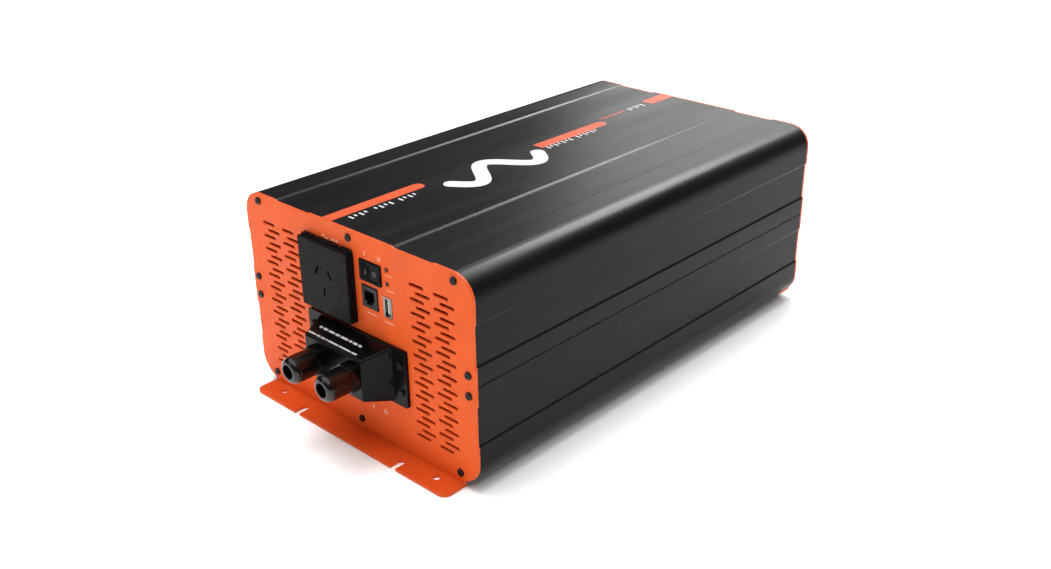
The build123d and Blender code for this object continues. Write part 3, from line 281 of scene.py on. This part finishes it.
terminal_red = Finish("terminal_red", srgb(190, 24, 20), 0.36)
terminal_red.tint(60.0, 0.1).uneven(120.0, 0.06).rounded(0.0004).bumps(1500.0, 0.00002)
terminal_red.worn(srgb(226, 96, 88), 0.4)
dress(terminal_red, "dc_positive_base")

terminal_black = Finish("terminal_black", srgb(30, 30, 31), 0.38)
terminal_black.tint(60.0, 0.15).uneven(120.0, 0.06).rounded(0.0004).bumps(1500.0, 0.00002)
terminal_black.worn(srgb(90, 90, 90), 0.4)
dress(terminal_black, "dc_negative_base")

board = Finish("board_green", srgb(26, 96, 52), 0.34, coat=0.3)
board.tint(120.0, 0.2).uneven(200.0, 0.08).bumps(600.0, 0.00002)
board.paint(board.noise(340.0, 0.0, 0.6, 0.63, (1.0, 0.08, 1.0)), srgb(70, 150, 90), 0.8)
dress(board, "main_board", "control_board", "interface_board")

zinc = Finish("board_hardware", srgb(188, 190, 192), 0.34, metallic=1.0)
zinc.tint(150.0, 0.14).uneven(260.0, 0.1).bumps(900.0, 0.00002)
dress(zinc, "board_standoffs", "board_screws", "transistor_clamps")

film = Finish("insulation", srgb(224, 214, 182), 0.42)
film.tint(40.0, 0.06).uneven(60.0, 0.06).bumps(120.0, 0.0001)
dress(film, "insulation_sheet")

extruded = Finish("heatsink_aluminium", srgb(196, 198, 200), 0.34, metallic=1.0)
extruded.tint(60.0, 0.1, (1.0, 0.05, 1.0)).uneven(900.0, 0.1, (1.0, 0.02, 1.0))
extruded.bumps(1800.0, 0.00002, 2.0, (1.0, 0.03, 1.0))
dress(extruded, "heatsinks")

epoxy = Finish("device_black", srgb(34, 34, 35), 0.5)
epoxy.tint(200.0, 0.15).uneven(200.0, 0.06).bumps(1800.0, 0.00003)
dress(epoxy, "power_transistors")

fuse = Finish("fuse_body", srgb(58, 140, 70), 0.2, coat=0.3)
fuse.tint(150.0, 0.15).uneven(200.0, 0.06).bumps(900.0, 0.00001)
dress(fuse, "input_fuses")

sleeve = Finish("capacitor_sleeve", srgb(38, 44, 84), 0.3, coat=0.2)
sleeve.tint(120.0, 0.15).uneven(150.0, 0.06).bumps(500.0, 0.00002).worn(srgb(150, 154, 170), 0.5)
dress(sleeve, "input_capacitors", "bus_capacitors")

ferrite = Finish("ferrite", srgb(70, 70, 72), 0.6)
ferrite.tint(200.0, 0.2).uneven(200.0, 0.08).bumps(1500.0, 0.00006)
dress(ferrite, "transformer_cores", "output_choke_core")

copper = Finish("copper", srgb(204, 120, 78), 0.28, metallic=1.0)
copper.tint(120.0, 0.15).uneven(200.0, 0.1).bumps(1400.0, 0.00004, 1.0, (0.1, 0.1, 1.0))
copper.paint(copper.noise(70.0, 5.0, 0.5, 0.7), srgb(146, 74, 48), 0.4)
dress(copper, "transformer_windings", "output_choke_winding", "positive_busbar", "negative_busbar")

pvc = Finish("lead_insulation", srgb(112, 66, 40), 0.42)
pvc.tint(120.0, 0.12).uneven(150.0, 0.06).bumps(900.0, 0.00002)
dress(pvc, "ac_leads")

ink_orange = Finish("print_orange", srgb(232, 90, 40), 0.45, specular=0.2)
ink_orange.tint(60.0, 0.06).uneven(100.0, 0.05).bumps(2200.0, 0.00001)
ink_orange.speckle(1800.0, srgb(190, 64, 26), 0.3)
ink_white = Finish("print_white", srgb(240, 240, 240), 0.5, specular=0.2)
ink_white.tint(60.0, 0.03).uneven(100.0, 0.05).bumps(2200.0, 0.00001)
ink_white.speckle(1800.0, srgb(180, 180, 180), 0.3)
ink_grey = Finish("print_grey", srgb(104, 102, 98), 0.5, specular=0.2)
ink_grey.tint(60.0, 0.03).uneven(100.0, 0.05).bumps(2200.0, 0.00001)
ink_faded = Finish("print_faded", srgb(246, 190, 164), 0.5, specular=0.2)
ink_faded.tint(60.0, 0.03).uneven(100.0, 0.05).bumps(2200.0, 0.00001)


# ---------------------------------------------------------------- printed marks
INK = 0.00005                # thickness of the print


def capsule(start, end, width, steps=8):
    """Outline of a straight stroke with round ends, in the print's plane."""
    a, b = Vector(start), Vector(end)
    along = (b - a).normalized()
    across = Vector((-along.y, along.x))
    points = []
    for centre, first in ((b, -pi / 2), (a, pi / 2)):
        for i in range(steps + 1):
            angle = first + pi * i / steps
            points.append(centre + (along * cos(angle) + across * sin(angle)) * width / 2)
    return points


def bar(left, low, right, high, round_end=False, steps=10):
    """Outline of a bar; round_end rounds its high end."""
    if not round_end:
        return [Vector((left, low)), Vector((right, low)), Vector((right, high)), Vector((left, high))]
    radius = (right - left) / 2
    points = [Vector((left, low)), Vector((right, low))]
    for i in range(steps + 1):
        angle = pi * i / steps
        points.append(Vector(((left + right) / 2 + radius * cos(angle), high - radius + radius * sin(angle))))
    return points


def ribbon(centre_line, width, cap_steps=10):
    """Outline of a stroke of even width along a curved line, with round ends."""
    line = [Vector(p) for p in centre_line]
    half = width / 2
    normals = []
    for i in range(len(line)):
        along = (line[min(i + 1, len(line) - 1)] - line[max(i - 1, 0)]).normalized()
        normals.append(Vector((-along.y, along.x)))
    left = [point + normal * half for point, normal in zip(line, normals)]
    right = [point - normal * half for point, normal in zip(line, normals)]

    def cap(centre, normal, out):
        """Points of a round end, from the left side over to the right."""
        return [centre + normal * half * cos(pi * i / cap_steps) + out * half * sin(pi * i / cap_steps)
                for i in range(1, cap_steps)]

    start_cap = cap(line[0], normals[0], Vector((-normals[0].y, normals[0].x)))
    end_cap = cap(line[-1], normals[-1], Vector((normals[-1].y, -normals[-1].x)))
    return left + end_cap + right[::-1] + start_cap[::-1]


def printed(name, outlines, to_world, finish, body="inverter"):
    """A thin print: each outline is in the plane's millimetres, to_world places it in metres."""
    mesh = bpy.data.meshes.new(name)
    shape = bmesh.new()
    for outline in outlines:
        base = [shape.verts.new(to_world(p.x * MM, p.y * MM, 0.0)) for p in outline]
        face = shape.faces.new(base)
        grown = bmesh.ops.extrude_face_region(shape, geom=[face])
        lifted = [v for v in grown["geom"] if isinstance(v, bmesh.types.BMVert)]
        lift = to_world(0, 0, INK) - to_world(0, 0, 0)
        bmesh.ops.translate(shape, verts=lifted, vec=lift)
    bmesh.ops.triangulate(shape, faces=shape.faces)
    bmesh.ops.recalc_face_normals(shape, faces=shape.faces)
    shape.to_mesh(mesh)
    shape.free()
    piece = bpy.data.objects.new(name, mesh)
    scene.collection.objects.link(piece)
    mesh.materials.append(finish.material)
    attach(piece, body)
    return piece


top_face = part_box("upper_housing")[1].z


def on_top(x, y, out):
    """x from the centre, y behind the front panel's face, both in metres."""
    return Vector((x, FRONT_FACE + y, top_face + out))


def on_front(x, z, out):
    """x from the centre and height z, both in metres."""
    return Vector((x, FRONT_FACE - out, z))


printed("stripe_print", [
    bar(-29.5, 2.2, -19.5, 89.0, round_end=True),
    bar(-24.0, 205.0, -14.0, 287.0, round_end=True),
    bar(-33.0, 355.0, -21.0, 383.8),
    capsule((-26.5, 292.0), (-26.5, 322.0), 1.6),
], on_top, ink_orange)

# The wave's centre line, swing, start, length and stroke, in millimetres, and how often it swings.
WAVE_X, WAVE_SWING, WAVE_START, WAVE_LENGTH, WAVE_STROKE = -10.0, 14.2, 103.0, 92.0, 11.5
WAVE_TURNS = 1.5
WAVE_POINTS = 64
wave = [(WAVE_X + WAVE_SWING * sin(2 * pi * WAVE_TURNS * i / WAVE_POINTS),
         WAVE_START + WAVE_LENGTH * i / WAVE_POINTS) for i in range(WAVE_POINTS + 1)]
printed("wave_print", [ribbon(wave, WAVE_STROKE)], on_top, ink_white)

TICK_PITCH, TICK_WIDTH = 4.4, 1.6
LOW_TICK = 0.62              # share of a tall tick's height


def tick_row(x_low, x_high, start, end, skip):
    """Tall and low ticks across a row; every so many places one is left out."""
    ticks = []
    for i in range(int((end - start) / TICK_PITCH)):
        if i % skip == skip - 1:
            continue
        y = start + i * TICK_PITCH
        tip = x_high if i % 2 == 0 else x_low + (x_high - x_low) * LOW_TICK
        ticks.append(bar(x_low, y, tip, y + TICK_WIDTH))
    return ticks


printed("tick_print", tick_row(-16.6, -11.4, 14.0, 80.0, 5) + tick_row(-13.6, -8.4, 208.0, 270.0, 8)
        + tick_row(-29.0, -23.0, 328.0, 352.0, 9), on_top, ink_white)


def ring(centre, radius, width, steps=28):
    """Four-sided pieces of a ring outline."""
    quads = []
    for i in range(steps):
        a, b = 2 * pi * i / steps, 2 * pi * (i + 1) / steps
        inner, outer = radius - width / 2, radius + width / 2
        quads.append([Vector((centre[0] + r * cos(t), centre[1] + r * sin(t)))
                      for r, t in ((inner, a), (outer, a), (outer, b), (inner, b))])
    return quads


# Rows of dashes where the panel has labels: x, z, number of dashes, pitch, width and height in millimetres.
LABEL_ROWS = (
    (-18.6, 140.9, 3, 2.7, 1.8, 1.4),    # outlet
    (35.6, 131.8, 3, 2.2, 1.4, 0.7),     # upper lamp
    (36.4, 120.9, 3, 2.2, 1.4, 0.7),     # lower lamp
    (14.6, 98.0, 4, 2.4, 1.6, 0.9),      # remote jack
    (32.0, 97.0, 4, 2.4, 1.6, 0.9),      # charging port
)
# The tilde over the outlet: its start, step, centre line and swing in millimetres.
TILDE_START, TILDE_STEP, TILDE_Z, TILDE_SWING, TILDE_STEPS = -28.5, 0.42, 141.6, 0.9, 16

tilde = [(TILDE_START + i * TILDE_STEP, TILDE_Z + TILDE_SWING * sin(2 * pi * i / TILDE_STEPS))
         for i in range(TILDE_STEPS + 1)]
marks = [ribbon(tilde, 0.8, 4)]
for x, z, count, pitch, width, height in LABEL_ROWS:
    marks += [bar(x + i * pitch, z, x + i * pitch + width, z + height) for i in range(count)]
# A stroke and a ring over the switch, and the same under the terminal cover.
marks += [capsule((15.2, 139.9), (15.2, 142.5), 0.7)] + ring((29.8, 141.2), 1.2, 0.6)
marks += [capsule((13.5, 24.0), (13.5, 26.6), 0.9)] + ring((26.2, 26.0), 1.4, 0.8)
printed("front_mark_print", marks, on_front, ink_faded)

# Half the cover's height at the panel and at its front face, in metres.
COVER_HALF_BACK, COVER_HALF_FRONT = 0.021, 0.0154
cover_low, cover_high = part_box("terminal_cover")
cover_x = (cover_low.x + cover_high.x) / 2
cover_z = (cover_low.z + cover_high.z) / 2
slope_start = Vector((0, FRONT_FACE, cover_z + COVER_HALF_BACK))
slope_end = Vector((0, cover_low.y, cover_z + COVER_HALF_FRONT))
slope = (slope_end - slope_start).normalized()
slope_normal = Vector((0, slope.z, -slope.y))


def on_cover(x, down, out):
    """x from the cover's middle, down along its sloped top from the panel, both in metres."""
    return slope_start + Vector((cover_x + x, 0, 0)) + slope * down + slope_normal * out


def word_row(start, end, low, high, lengths, gap=1.3, letter=1.1, space=0.35):
    """Small upright dashes in groups, as a row of fine print seen from afar."""
    blocks = []
    x, i = start, 0
    while x < end:
        for _ in range(lengths[i % len(lengths)]):
            if x + letter > end:
                break
            blocks.append(bar(x, low, x + letter, high))
            x += letter + space
        x += gap
        i += 1
    return blocks


printed("cover_print", word_row(-25.5, 18.5, 11.2, 13.0, (2, 3, 4, 3, 5))
        + word_row(-29.0, 22.0, 18.9, 20.3, (6, 3, 3, 1, 8, 9), 1.1, 0.95),
        on_cover, ink_white)

# The rocker's pin, its tilt at rest, the run and rise of each half's face, and the middle of the right
# half's face from the pin; the last two are in millimetres.
ROCKER_PIN = Vector((0.0208, -0.1914, 0.1292))
ROCKER_TILT = radians(8.0)
ROCKER_RUN, ROCKER_RISE = 7.8, 1.1
ROCKER_MIDDLE_X, ROCKER_MIDDLE_Y = 3.9, -3.05


def on_rocker(side):
    """Placement on the rocker's slope: side -1 is its left half, 1 its right half."""
    along = Vector((ROCKER_RUN, -side * ROCKER_RISE)).normalized()
    middle = Vector((side * ROCKER_MIDDLE_X, ROCKER_MIDDLE_Y)) * MM

    def place(x, z, out):
        flat = middle + along * x + Vector((along.y, -along.x)) * out
        return ROCKER_PIN + Vector((flat.x * cos(ROCKER_TILT) - flat.y * sin(ROCKER_TILT),
                                    flat.x * sin(ROCKER_TILT) + flat.y * cos(ROCKER_TILT), z))
    return place


for print_name, mark, side in (("rocker_print_on", [capsule((0, -1.5), (0, 1.5), 0.6)], -1),
                               ("rocker_print_off", ring((0, 0), 1.4, 0.55), 1)):
    printed(print_name, mark, on_rocker(side), ink_grey, "rocker")


# ---------------------------------------------------------------- threaded studs
RELIEF_WIDTH = 0.001
RELIEF_DEPTH = 0.0004
ROUND = 40                   # points around a stud
PER_TURN = 10                # rings along each turn of the thread
THREAD_DEPTH = 0.54          # share of the pitch
COLLAR_BEVEL = 0.0004


def thread_profile(turn):
    """Depth of the thread from 0 at the crest to 1 at the root, for a place along one turn."""
    return max(0.0, min(1.0, 1.25 - abs(2.0 * (turn % 1.0) - 1.0) * 1.5))


def threaded_stud(node, radius, pitch, bevel, relief_start, collar=None):
    """A stud with a helical thread in place of the CAD's plain one.

    relief_start is the groove's distance behind the panel. The collar is a hexagon inside the panel: its
    start, its end and its width over the flats. All are in metres."""
    low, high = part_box(node)
    centre_x, centre_z = (low.x + high.x) / 2, (low.z + high.z) / 2
    depth = THREAD_DEPTH * pitch
    rings = int((high.y - low.y) / pitch * PER_TURN)
    shape = bmesh.new()
    rows = []
    for i in range(rings + 1):
        y = low.y + (high.y - low.y) * i / rings
        row = []
        for j in range(ROUND):
            angle = 2 * pi * j / ROUND
            r = radius - depth * thread_profile(y / pitch - j / ROUND)
            r = min(r, radius - bevel + (high.y - y))
            if relief_start <= y - REAR_FACE <= relief_start + RELIEF_WIDTH:
                r = min(r, radius - RELIEF_DEPTH)
            row.append(shape.verts.new((centre_x + r * cos(angle), y, centre_z + r * sin(angle))))
        rows.append(row)
    for near, far in zip(rows, rows[1:]):
        for j in range(ROUND):
            shape.faces.new((near[j], near[(j + 1) % ROUND], far[(j + 1) % ROUND], far[j]))
    shape.faces.new(rows[0])
    shape.faces.new(rows[-1][::-1])
    if collar:
        start, end, flats = collar
        corner = flats / 2 / cos(pi / 6)
        first = 0.0 if high.x - low.x > high.z - low.z else pi / 6
        ends = [[shape.verts.new((centre_x + corner * cos(first + pi * k / 3), REAR_FACE - out,
                                  centre_z + corner * sin(first + pi * k / 3))) for k in range(6)]
                for out in (start, end)]
        caps = [shape.faces.new(ends[0]), shape.faces.new(ends[1][::-1])]
        for k in range(6):
            shape.faces.new((ends[0][k], ends[0][(k + 1) % 6], ends[1][(k + 1) % 6], ends[1][k]))
        rims = [edge for cap in caps for edge in cap.edges]
        bmesh.ops.bevel(shape, geom=rims, offset=COLLAR_BEVEL, segments=2, affect="EDGES")
    bmesh.ops.recalc_face_normals(shape, faces=shape.faces)
    mesh = bpy.data.meshes.new(node + "_threaded")
    shape.to_mesh(mesh)
    shape.free()
    mesh.materials.append(brass.material)
    stud = bpy.data.objects.new(node + "_threaded", mesh)
    scene.collection.objects.link(stud)
    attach(stud, "inverter")
    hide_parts(node)


for dc_stud in ("dc_positive_stud", "dc_negative_stud"):
    threaded_stud(dc_stud, 0.004, 0.00125, 0.0008, 0.0141, (0.007, 0.011, 0.013))
threaded_stud("earth_stud", 0.0025, 0.0008, 0.0005, 0.004)


# ---------------------------------------------------------------- floor, lights, camera
FLOOR_SIZE = 30.0
FLOOR_DROP = 0.0002          # keeps the floor clear of the feet
FLOOR_GLOW = 0.06            # light that the floor gives off itself


def floor_plane():
    half = FLOOR_SIZE / 2
    mesh = bpy.data.meshes.new("floor")
    corners = [(-half, -half, 0), (half, -half, 0), (half, half, 0), (-half, half, 0)]
    mesh.from_pydata(corners, [], [(0, 1, 2, 3)])
    floor = bpy.data.objects.new("floor", mesh)
    floor.location.z = -FLOOR_DROP
    scene.collection.objects.link(floor)
    pale = Finish("floor_pale", srgb(238, 238, 238), 0.7)
    pale.tint(3.0, 0.01).uneven(5.0, 0.05)
    pale.shader.inputs["Emission Color"].default_value = (1.0, 1.0, 1.0, 1.0)
    pale.shader.inputs["Emission Strength"].default_value = FLOOR_GLOW
    mesh.materials.append(pale.material)
    return floor


floor = floor_plane()


def softbox(name, place, target, width, height, power):
    """Area light at a place, turned towards a target."""
    light = bpy.data.lights.new(name, "AREA")
    light.shape = "RECTANGLE"
    light.size = width
    light.size_y = height
    light.energy = power
    lamp_object = bpy.data.objects.new(name, light)
    lamp_object.location = place
    lamp_object.rotation_euler = (Vector(target) - Vector(place)).to_track_quat("-Z", "Y").to_euler()
    scene.collection.objects.link(lamp_object)
    return lamp_object


OBJECT_MIDDLE = (0.0, 0.0, 0.12)
softbox("overhead", (-0.5, 0.3, 3.4), (-0.5, 0.3, 0.0), width=6.0, height=6.0, power=235.0)
# Lights only the floor, to keep it pale beside the object.
floor_wash = softbox("floor_wash", (-0.45, 0.15, 3.0), (0.0, 0.25, 0.0), width=1.7, height=1.7, power=105.0)
floor_only = bpy.data.collections.new("floor_only")
floor_only.objects.link(floor)
floor_wash.light_linking.receiver_collection = floor_only
# Make only the sheen on the top and on its rounded edge.
rear_sheen = softbox("rear_sheen", (-0.54, 2.0, 1.12), OBJECT_MIDDLE, width=2.0, height=1.55, power=27.0)
rear_sheen.visible_diffuse = False
edge_sheen = softbox("edge_sheen", (-0.30, 1.72, 1.76), OBJECT_MIDDLE, width=1.2, height=0.5, power=70.0)
edge_sheen.visible_diffuse = False
softbox("front_fill", (-1.0, -2.4, 1.3), (0.0, -0.2, 0.08), width=0.6, height=0.5, power=6.0)

world = bpy.data.worlds.new("studio")
scene.world = world
world.use_nodes = True
world.node_tree.nodes["Background"].inputs["Color"].default_value = (0.9, 0.95, 1.0, 1.0)
world.node_tree.nodes["Background"].inputs["Strength"].default_value = 0.08

CAMERA_PLACE = (0.5548, -0.6190, 0.4429)
CAMERA_AZIMUTH = radians(42.989)
CAMERA_ELEVATION = radians(25.570)
CAMERA_ROLL = radians(-0.553)
camera_data = bpy.data.cameras.new("camera")
camera_data.sensor_width = 36.0
camera_data.lens = 39.40
camera_data.clip_start = 0.02
camera = bpy.data.objects.new("camera", camera_data)
scene.collection.objects.link(camera)
look = Vector((-sin(CAMERA_AZIMUTH) * cos(CAMERA_ELEVATION), cos(CAMERA_AZIMUTH) * cos(CAMERA_ELEVATION),
               -sin(CAMERA_ELEVATION)))
level_right = Vector((cos(CAMERA_AZIMUTH), sin(CAMERA_AZIMUTH), 0.0))
level_up = level_right.cross(look)
right = level_right * cos(CAMERA_ROLL) + level_up * sin(CAMERA_ROLL)
up = level_up * cos(CAMERA_ROLL) - level_right * sin(CAMERA_ROLL)
camera_turn = Matrix((right, up, -look)).transposed().to_4x4()
camera.matrix_world = Matrix.Translation(CAMERA_PLACE) @ camera_turn
scene.camera = camera
